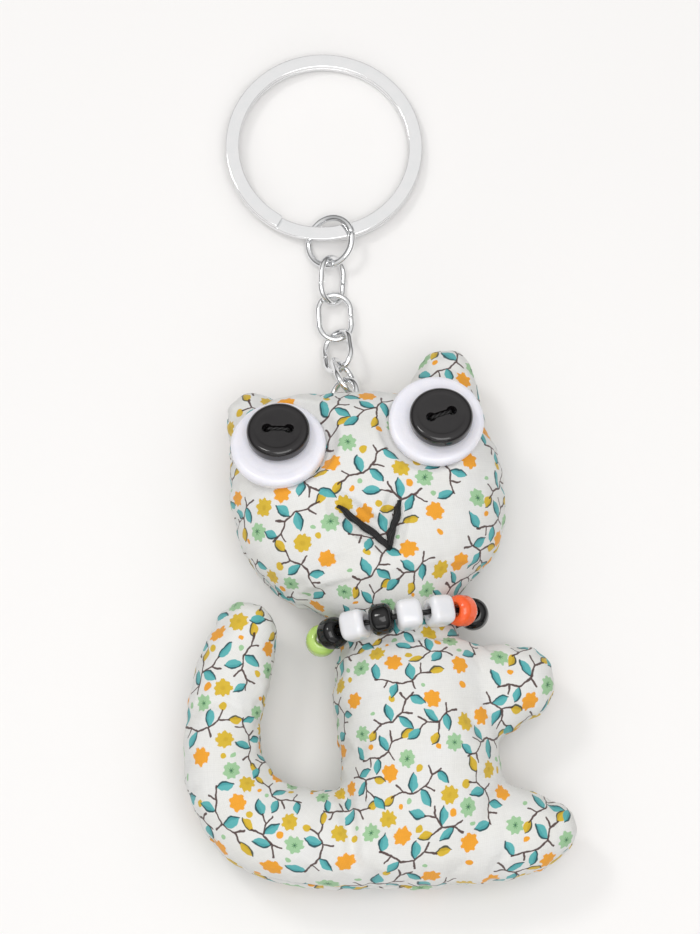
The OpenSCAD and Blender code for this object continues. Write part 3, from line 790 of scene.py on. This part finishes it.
def finish_half(obj, seam_loop):
    """Refine a panel, gather it along the seam, and give it its folds, creases and hollows."""
    given(obj.modifiers.new("sub", "SUBSURF"), levels=1, render_levels=1, uv_smooth="PRESERVE_BOUNDARIES")
    apply_modifiers(obj)
    p = coords(obj)
    mesh = obj.data
    n = read(mesh.vertices, "normal")
    # how far along the seam each point lies
    tree, length = seam_loop
    along = np.array([length[tree.find(Vector((q[0], q[1], 0)))[1]] for q in p])
    flat_n = n.copy()
    flat_n[:, 2] = 0
    flat_n /= np.maximum(norm(flat_n, axis=1), 1e-6)[:, None]
    up = np.abs(p[:, 2] - SEAM)
    # the seam line draws in, and each stitch gathers the cloth beside it a little
    beat = 0.5 + 0.5 * np.sin(along * 2 * pi / STITCH + 1.5 * np.sin(along * 0.31))
    p = p - flat_n * (0.42 * bell(up, 0.6) + 0.13 * beat * bell(up, 1.5))[:, None]
    pucker = np.sin(along * 2 * pi / 4.7 + 2.2 * np.sin(along * 0.17) + 1.3 * np.sin(along * 0.083 + 1))
    strength = 0.16 * bell(up - 2.2, 2.4) * (0.55 + 0.45 * np.sin(along * 0.11 + 2))
    p = p + n * (pucker * strength)[:, None]
    # cloth over hand-packed filling is never quite even
    p = p + n * (0.11 * hills(p, 9.0, 3) + 0.05 * hills(p, 4.2, 5))[:, None]
    lift = np.zeros(len(p))
    if "front" in obj.name:
        for entry in CREASES:
            lift += crease(p, *entry)
    # little folds run out of the gathered neck
    v = in_loop(p)
    ring = np.arctan2(v[:, 2] / 6.0, v[:, 0] / 9.2)
    folds = np.sin(ring * 13 + 1.7 * np.sin(ring * 3 + 1))
    lift += 0.2 * folds * bell(np.abs(v[:, 1]) - 3.6, 2.1) * (np.abs(v[:, 0]) < 15)
    # the mouth's stitches pull the cloth
    for at in (MOUTH_CORNER, MOUTH_ENDS["left"], MOUTH_CORNER, MOUTH_ENDS["right"]):
        d = norm(p[:, :2] - at[:2], axis=1)
        turn = np.arctan2(p[:, 1] - at[1], p[:, 0] - at[0])
        pull = -0.32 * bell(d, 1.5) + 0.05 * np.sin(turn * 5) * bell(d - 2.2, 1.4)
        lift += np.where(p[:, 2] > SEAM, pull, 0)
    p = contacts(p + n * lift[:, None])
    e = edges_of(obj)
    used = np.bincount(read(mesh.loops, "edge_index", 1, int), minlength=len(e))
    edge = np.zeros(len(p), bool)
    edge[e[used == 1].ravel()] = True
    p = relaxed(p, e, 1, 0.35, (~edge)[:, None].astype(float))
    p[edge, 2] = SEAM
    set_coords(obj, p)
    # closeness to the seam, which the cloth's colour turns into painted shade along the seam's groove
    seam = mesh.attributes.new("seam", "FLOAT", "POINT")
    seam.data.foreach_set("value", bell(up, 0.45).astype(np.float32))
    mesh.polygons.foreach_set("use_smooth", [True] * len(mesh.polygons))
    mesh.update()


def seam_line(obj):
    """The ordered points of a half's open edge, in a search tree, with the length along it."""
    bm = bmesh.new()
    bm.from_mesh(obj.data)
    start = next(v for v in bm.verts if v.is_boundary)
    loop, last, v = [start], None, start
    while True:
        step = [ed.other_vert(v) for ed in v.link_edges if ed.is_boundary and ed.other_vert(v) != last]
        if not step or step[0] == start:
            break
        last, v = v, step[0]
        loop.append(v)
    pts = np.array([list(v.co) for v in loop]) / MM - MIDDLE
    bm.free()
    length = np.concatenate([[0], np.cumsum(norm(np.diff(pts, axis=0), axis=1))])
    length *= round(length[-1] / STITCH) * STITCH / length[-1]
    tree = KDTree(len(pts))
    for i, q in enumerate(pts):
        tree.insert(Vector((q[0], q[1], 0)), i)
    tree.balance()
    return tree, length


halves = build_plush()
unwrap(halves["front_cover"], False)
unwrap(halves["back_cover"], True)
loop = seam_line(halves["front_cover"])
cotton = cotton_material(print_group())
for name, nodes in (("front_cover", ["front_panel"]), ("back_cover", ["back_panel", "stuffing"])):
    half = halves[name]
    finish_half(half, loop)
    half.data.materials.append(cotton)
    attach(half, "plush")
    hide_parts(*nodes)


# ---- other materials

def two_tones(name, cloud, hexa, hexb):
    """A material whose colour drifts between two, with its net, shader and place; cloud is (scale, detail)."""
    m, net, shader = new_material(name)
    p = place_mm(net)
    net.dress(shader, Base_Color=net.mix(net.ramp(net.noise(p, *cloud), 0.3, 0.7), linear(hexa), linear(hexb)))
    return m, net, shader, p


def scratches(net, p, stretches, levels):
    """Fine lines two ways across each other."""
    lines = (net.noise(p, 1.0, 2, stretch=k) for k in stretches)
    return net.most(*(net.ramp(line, *ends) for line, ends in zip(lines, levels)))


def plastic(name, hexa, hexb, rough, coat, sub, scratch=0.35):
    m, net, shader, p = two_tones(name, (0.35, 3), hexa, hexb)
    wear = scratches(net, p, ((14.0, 0.9, 3.0), (1.1, 15.0, 3.0)), ((0.64, 0.74), (0.65, 0.75)))
    fine = net.noise(p, 9.0, 3)
    height = net.mad(wear, -0.12 * scratch, net.mad(fine, 0.06, net.noise(p, 0.8, 1)))
    net.dress(shader, Roughness=net.mad(wear, 0.07 * scratch, net.ramp(fine, 0.25, 0.75, rough * 0.8, rough * 1.25)),
              Specular_IOR_Level=0.5, Coat_Weight=coat, Coat_Roughness=0.04, Normal=net.bump(height, 0.00003, 0.5))
    if sub:
        net.dress(shader, Subsurface_Weight=sub, Subsurface_Radius=(1.0, 0.9, 0.8), Subsurface_Scale=0.0008)
    return m


def yarn(name, hexa, hexb, rough):
    m, net, shader = new_material(name)
    p = place_mm(net)
    fibre = net.noise(p, 4.0, 5, 0.7, stretch=(2.2, 2.2, 2.2))
    net.dress(shader, Base_Color=net.mix(net.ramp(fibre, 0.35, 0.75), linear(hexa), linear(hexb)),
              Roughness=net.ramp(net.noise(p, 1.4, 2), 0.3, 0.7, rough - 0.08, rough + 0.08),
              Sheen_Weight=0.05, Sheen_Roughness=0.4, Normal=net.bump(fibre, 0.00005, 0.6))
    return m


def metal(name, hexa, hexb, rough):
    m, net, shader, p = two_tones(name, (0.5, 3), hexa, hexb)
    scratch = scratches(net, p, ((18.0, 1.3, 4.0), (1.6, 17.0, 5.0)), ((0.6, 0.75), (0.62, 0.76)))
    fine = net.noise(p, 6.0, 4, 0.6)
    height = net.mad(scratch, -0.5, net.mul(fine, 0.6))
    net.dress(shader, Metallic=1.0, Normal=net.bump(height, 0.000003, 0.3),
              Roughness=net.mad(scratch, 0.06, net.ramp(fine, 0.3, 0.75, rough * 0.8, rough * 1.25)))
    return m


# [colours, roughness, coat, light let in, scratches]; thread and metal have only the first three
PLASTICS = {
    "white_button": ("F1F0F8", "ECECF6", 0.24, 0.15, 0.25), "black_button": ("171416", "1C1A1B", 0.12, 0.2, 0, 0.4),
    "lime_bead": ("B4D96A", "BEDD7A", 0.12, 0.3, 0.15), "black_bead": ("0A0A0B", "0F0F10", 0.07, 0, 0),
    "white_bead": ("E9E9EC", "E4E5E9", 0.16, 0.3, 0.2), "orange_bead": ("FF6A30", "F8602A", 0.11, 0.3, 0.1)}
YARNS = {"black_thread": ("0B0A0B", "151415", 0.5), "mouth_floss": ("0A090A", "161516", 0.6),
         "black_cord": ("131214", "1F1E21", 0.42)}
METALS = {"nickel_wire": ("EDEEEF", "E8E9EB", 0.09), "nickel_band": ("F1F1F2", "EEEFF0", 0.08)}
MATS = {name: make(name, *row) for make, rows in ((plastic, PLASTICS), (yarn, YARNS), (metal, METALS))
        for name, row in rows.items()}


def piece(name, node, shape, slot, body="plush", sharp=None):
    """One piece of the look: it rides on a body and stands for one node. Edges past the angle sharp stay crisp."""
    obj = make_object(name, *shape)
    obj.data.materials.append(MATS[slot])
    if sharp is not None:
        with edited(obj.data) as bm:
            for ed in bm.edges:
                if len(ed.link_faces) == 2 and ed.calc_face_angle(0) > rad(sharp):
                    ed.smooth = False
    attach(obj, body)
    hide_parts(node)
    return obj


# ---- buttons

HOLE_R, HOLE_AT = 0.8, 1.7  # the sewing holes' radius and distance from the middle, mm


def arc(cx, cz, r, a0, a1, n):
    return [(cx + r * cos(rad(a)), cz + r * sin(rad(a))) for a in np.linspace(a0, a1, n)]


def button_profile(radius, thick, rim, corner, dish):
    """Half section from the axis out: flat underside, rounded edges, then a slight step down to a flat face."""
    pts = [(0.0, 0.0), ((radius - corner) * 0.5, 0.0)]
    pts += arc(radius - corner, corner, corner, -90, 0, 12) + arc(radius - corner, thick - corner, corner, 0, 90, 12)
    x0 = radius - rim + 0.22
    pts += [(x0 - 0.42 * t, thick - dish * smoothstep(0, 1, t)) for t in np.linspace(0.0, 1, 8)]
    return pts + [((x0 - 0.42) * t, thick - dish) for t in (0.8, 0.6, 0.4, 0.2, 0.0)]


def cut(obj, tools, width):
    """Take the tools out of obj, then round the new edges."""
    tools = [make_object("tool", *t) for t in tools]
    for t in tools:
        given(obj.modifiers.new("cut", "BOOLEAN"), operation="DIFFERENCE", solver="MANIFOLD", object=t)
    apply_modifiers(obj)
    for t in tools:
        bpy.data.objects.remove(t)
    given(obj.modifiers.new("round", "BEVEL"), width=width * MM, segments=3, limit_method="ANGLE", angle_limit=rad(38),
          use_clamp_overlap=True)
    apply_modifiers(obj)
    with edited(obj.data) as bm:
        bmesh.ops.remove_doubles(bm, verts=bm.verts, dist=2e-6)
        bmesh.ops.dissolve_degenerate(bm, edges=bm.edges, dist=2e-6)


def stitch(top):
    """Two twisted threads over the button's bridge, their legs run down through both holes."""
    flat = 0.62  # share of the run that lies on top
    parts = []
    for k in range(2):
        path = []
        for u in np.linspace(-1, 1, 61):
            if abs(u) < flat:
                y, z = u / flat * 1.62, top + 0.10 * cos(u / flat * pi / 2)
            else:
                y, z = copysign(HOLE_AT, u), top - (abs(u) - flat) / (1 - flat) * (top + 1.6)
            a = 9.0 * u + k * pi
            path.append((0.15 * cos(a), y, z + 0.15 * sin(a)))
        path = np.array(path)
        for _ in range(3):
            path[1:-1] = (path[:-2] + 2 * path[1:-1] + path[2:]) / 4
        parts.append(tube(path, 0.17, 12))
    return joined(parts)


def holes(z0, z1):
    return [prism(circle(HOLE_R, 40) + [0, y], z0, z1) for y in (-HOLE_AT, HOLE_AT)]


for side, e in EYES.items():
    r, t = on_eye(e)
    place = on_button(e)
    shape = lathe(button_profile(7.4, DISC_T, 1.6, 0.85, 0.03), 96)
    disc = piece(side + "_eye_disc_moulding", side + "_eye_disc", moved(shape, r, t), "white_button")
    under = r @ rot_z(e[5]), t + r @ np.array([e[3], e[4], 0])
    cut(disc, [moved(tool, *under) for tool in holes(-3, 4)], 0.12)
    shape = lathe(button_profile(4.9, BUTTON_T, 1.3, 0.75, 0.04), 96)
    button = piece(side + "_eye_button_moulding", side + "_eye_button", moved(shape, *place), "black_button")
    groove = prism(SQUARE * [0.44, HOLE_AT], BUTTON_T - 0.75, 5)
    cut(button, [moved(tool, *place) for tool in holes(-2, 5) + [groove]], 0.13)
    piece(side + "_eye_stitch", side + "_eye_thread", moved(stitch(BUTTON_T - 0.73 + 0.33), *place), "black_thread")


# ---- mouth floss

def floss(a, b, seed):
    """A bundle of six twisted strands that dives into the cloth at both ends."""
    r = np.random.default_rng(seed)
    u = np.linspace(-0.06, 1.06, 70)
    d = b - a
    side = np.array([-d[1], d[0], 0]) / hypot(d[0], d[1])
    up = np.array([0, 0, 1.0])
    rise = 0.3 + 0.16 * np.sin(np.clip(u, 0, 1) * pi) - 14 * np.maximum(np.abs(u - 0.5) - 0.5, 0)
    sway = 0.09 * np.sin(u * 9 + seed) + 0.05 * np.sin(u * 21 + 2 * seed)
    mid = a + u[:, None] * d + rise[:, None] * up + sway[:, None] * side
    fat = 0.335 + 0.02 * np.sin(u * 14 + seed) - 0.06 * bell(u, 0.1) - 0.15 * bell(u - 1.0, 0.12)
    parts = []
    for k in range(6):
        t = u * 4.2 + k * pi / 3 + 0.12 * r.normal()
        path = mid + (np.cos(t) * fat)[:, None] * side + (np.sin(t) * fat * 0.8)[:, None] * up
        parts.append(sweep(path, circle(1.0, 12), scales=np.maximum(fat * 0.72, 0.1)))
    return joined(parts)


for side, start, seed in (("left", [0, 0, 0.05], 2), ("right", [0.05, 0.1, 0.35], 5)):
    piece("mouth_%s_floss" % side, "mouth_%s_stitch" % side, floss(MOUTH_CORNER + start, MOUTH_ENDS[side], seed),
          "mouth_floss")


# ---- necklace

def loop_point(a):
    return np.array([LOOP_A * cos(rad(a)), 0, LOOP_B * sin(rad(a))])


around = np.array([loop_point(a) for a in np.linspace(-86, 266, 140)])
path = on_loop(around)
radial = on_loop(around * 1.02) - path
radial /= norm(radial, axis=1)[:, None]
across = LOOP_TURN @ np.array([0, 1.0, 0])
parts = []
for k in range(3):  # three waxed strands laid together
    t = np.arange(len(path)) * 0.62 + k * 2 * pi / 3
    parts.append(tube(path + 0.2 * (np.cos(t)[:, None] * radial + np.sin(t)[:, None] * across), 0.27, 10))
piece("necklace_strand", "necklace_cord", joined(parts), "black_cord")

# an overhand knot at the back of the neck with two short ends
t = np.linspace(0, 2 * pi, 90, endpoint=False)
reach = (1.55 + 0.62 * np.cos(3 * t)) * 0.42
knot = np.stack([reach * np.cos(2 * t), 0.36 * np.sin(3 * t), reach * np.sin(2 * t)], 1)
parts = [tube(on_loop(knot + [0, 0, -LOOP_B + 0.35]), 0.3, 12, closed=True)]
tail = np.array([(0.3, 0.2, 0.3), (0.7, 0.6, 0.35), (1.1, 1.3, 0.55), (1.2, 2.0, 0.5)])
parts += [tube(on_loop(tail * [s, s, 1] - [0, 0, LOOP_B]), 0.28, 12) for s in (-1, 1)]
piece("necklace_overhand_knot", "necklace_knot", joined(parts), "black_cord")

# each bead's place round the loop, degrees, and its plastic; the white ones are blocks
BEADS = {"green": (175.6, "lime"), "black_left": (147.5, "black"), "white_left": (123.6, "white"),
         "black_middle": (102.4, "black"), "white_middle": (82, "white"), "white_right": (57.4, "white"),
         "orange": (33.7, "orange"), "black_right": (5.8, "black")}


def bead_section(outer, half, corner, hole, lip):
    upper = arc(outer - corner, half - corner, corner, 0, 90, 12) + arc(hole + lip, half - lip - 0.06, lip, 90, 180, 7)
    upper.append((hole, 0.5))
    return [(x, -z) for x, z in upper] + [(hole, 0)] + upper[::-1]


def bead(block, seed):
    pts, faces = lathe(bead_section(*((2.3, 2.0, 1.1) if block else (2.45, 1.8, 1.3)), 0.9, 0.3), 96 if block else 64)
    if block:  # squared towards the outside
        a = np.arctan2(pts[:, 1], pts[:, 0])
        square = 1 / (np.abs(np.cos(a)) ** 3.8 + np.abs(np.sin(a)) ** 3.8) ** (1 / 3.8)
        pts[:, :2] *= (1 + (square - 1) * smoothstep(0.95, 2.1, np.hypot(pts[:, 0], pts[:, 1])))[:, None]
    # moulded beads are never quite true
    r = np.random.default_rng(seed)
    pts[:, 0] *= 1 + r.uniform(-0.012, 0.0)
    pts[:, 2] += 0.02 * pts[:, 0] * r.uniform(-1, 1)
    return pts, faces


for k, (name, (a, colour)) in enumerate(BEADS.items()):
    heading = degrees(atan2(LOOP_B * cos(rad(a)), -LOOP_A * sin(rad(a))))
    pts, faces = moved(bead(colour == "white", k), rot_y(90 - heading), loop_point(a))
    name = "bead_" + name
    piece(name + "_moulding", name, (on_loop(pts), faces), colour + "_bead", name)


# ---- chain and rings

def cut_ends(path, radius):
    """Wire whose two ends are sheared nearly square, with a small burr-free round."""
    k = [0.80, 0.94, 1.0]
    first, last = (unit(b - a) * radius * 0.16 for a, b in ((path[0], path[1]), (path[-2], path[-1])))
    full = np.vstack([[path[0], path[0] + first * 0.4, path[0] + first], path[2:-2],
                      [path[-1] - last, path[-1] - last * 0.4, path[-1]]])
    return sweep(full, circle(radius, 24), scales=np.array(k + [1.0] * (len(full) - 6) + k[::-1]))


def wire_ring(inside, wire, gap_at):
    r = (inside + wire) / 2
    half = degrees(0.12 / 2 / r)
    return cut_ends(np.array([(x, y, 0) for x, y in arc(0, 0, r, gap_at + half, gap_at + 360 - half, 110)]), wire / 2)


def wire_link(gap_side):
    r, end = (4.2 + 1.0) / 2, (6.5 - 4.2) / 2  # half width of the wire's middle line; half the straight
    half = [(r, y) for y in np.linspace(0.06, end, 8)[:-1]] + arc(0, end, r, 0, 180, 40)
    pts = half + [(-r, y) for y in np.linspace(end, -end, 14)[1:-1]] + [(x, -y) for x, y in half[::-1]]
    return cut_ends(np.array([(x * gap_side, y, 0) for x, y in pts]), 0.5)


def split_band():
    """One band with rounded edges, its two turns joined by a slope."""
    wide, turn, air, slope, end = 2.15, 0.95, 0.1, 39.0, 241.0
    step = turn + air
    path = [(a, -step / 2, 1.0) for a in np.linspace(end + slope, end + 360, 150)]
    path += [(end + 360 + slope * u, -step / 2 + step * u, 1 - 0.12 * sin(pi * u))
             for u in np.linspace(0, 1, 26)[1:-1]]
    path += [(a, step / 2, 1.0) for a in np.linspace(end + 360 + slope, end + 720, 150)]
    q = 0.14  # radius of the band's edges
    w, h = wide / 2 - q, turn / 2 - q
    section = []
    for cx, cz, a0 in ((w, -h, 0), (-w, -h, -90), (-w, h, -180), (w, h, -270)):
        section += arc(cx, cz, q, a0, a0 - 90, 5)
    m = len(path)
    pts = []
    for k, (a, z, thin) in enumerate(path):
        shy = {0: 0.94, 1: 0.98}.get(min(k, m - 1 - k), 1.0)
        for x, y in section:
            rr = 16 - wide / 2 + x * shy
            pts.append((rr * cos(rad(a)), rr * sin(rad(a)), z + y * shy * thin))
    return np.array(pts), skin_faces(m, len(section))


# each piece of metal: [shape, middle, yaw, pitch, roll]
METAL = {
    "head_ring": (wire_ring(4.2, 1.0, 200), [-5.67, 9.36, 9.33], 8.8, -16.9, -39.6),
    "chain_link_4": (wire_link(1), [-5.51, 12.97, 6.75], 13.4, -37.3, 59.3),
    "chain_link_3": (wire_link(-1), [-6.68, 18.25, 3.41], 6.9, -24.0, -38.7),
    "chain_link_2": (wire_link(1), [-7.17, 24.26, 2.22], 3.4, -1.2, 5.7),
    "chain_link_1": (wire_link(1), [-7.61, 30.38, 2.49], -3.7, 0.1, 48.7),
    "small_ring": (wire_ring(6.9, 1.1, 12), [-7.95, 36.91, 2.73], 0, -0.3, -28.0),
    "split_ring": (split_band(), [-9.0, 53.1, 1.9], 0, -2.1, 2.0),
}
for name, (shape, at, yaw, pitch, roll) in METAL.items():
    kind, slot = ("_band", "nickel_band") if name == "split_ring" else ("_wire", "nickel_wire")
    shape = moved(shape, rot_z(yaw) @ rot_x(pitch) @ rot_y(roll), np.array(at))
    piece(name + kind, name, shape, slot, name, sharp=50)


# ---- studio

table = make_object("table", np.column_stack([SQUARE * 1600, np.zeros(4)]) - MIDDLE, [(0, 1, 2, 3)])
paper, net, shader = new_material("table_paper")
p = place_mm(net)
net.dress(shader, Base_Color=net.mix(net.noise(p, 0.01, 3), linear("F3F2F1"), linear("F1F0F0")),
          Roughness=net.ramp(net.noise(p, 0.6, 3), 0.2, 0.8, 0.8, 0.9), Specular_IOR_Level=0.2)
table.data.materials.append(paper)


def area(name, at, size, power, colour):
    """A soft light that looks at the keychain."""
    light = given(bpy.data.lights.new(name, "AREA"), shape="RECTANGLE", size=size[0], size_y=size[1], energy=power,
                  color=colour)
    given(linked(bpy.data.objects.new(name, light)), location=at,
          rotation_euler=(Vector((0, -0.01, 0.01)) - Vector(at)).to_track_quat("-Z", "Y").to_euler())


area("key", (-0.30, 0.22, 0.62), (0.13, 0.13), 0.62, (1.0, 0.99, 0.975))
area("top", (0.05, -0.16, 0.66), (0.42, 0.42), 1.5, (1.0, 0.993, 0.985))
area("foot", (-0.05, -0.75, 0.35), (0.7, 0.25), 0.5, (1.0, 0.99, 0.98))

# a white tent: bright overhead, darker towards the table, so that bent metal shows thin dark edges
world = bpy.data.worlds.new("studio")
world.use_nodes = True
scene.world = world
sky = Net(world.node_tree)
height = sky.dot(sky.node("TexCoord").outputs["Generated"], 0, 0, 1)
back = world.node_tree.nodes["Background"]
back.inputs[0].default_value = (1.0, 0.993, 0.985, 1)
sky.plug(back.inputs[1], sky.ramp(height, 0.1, 0.92, 0.12, 0.915))

given(scene.view_settings, view_transform="Standard", look="None", exposure=0.0)
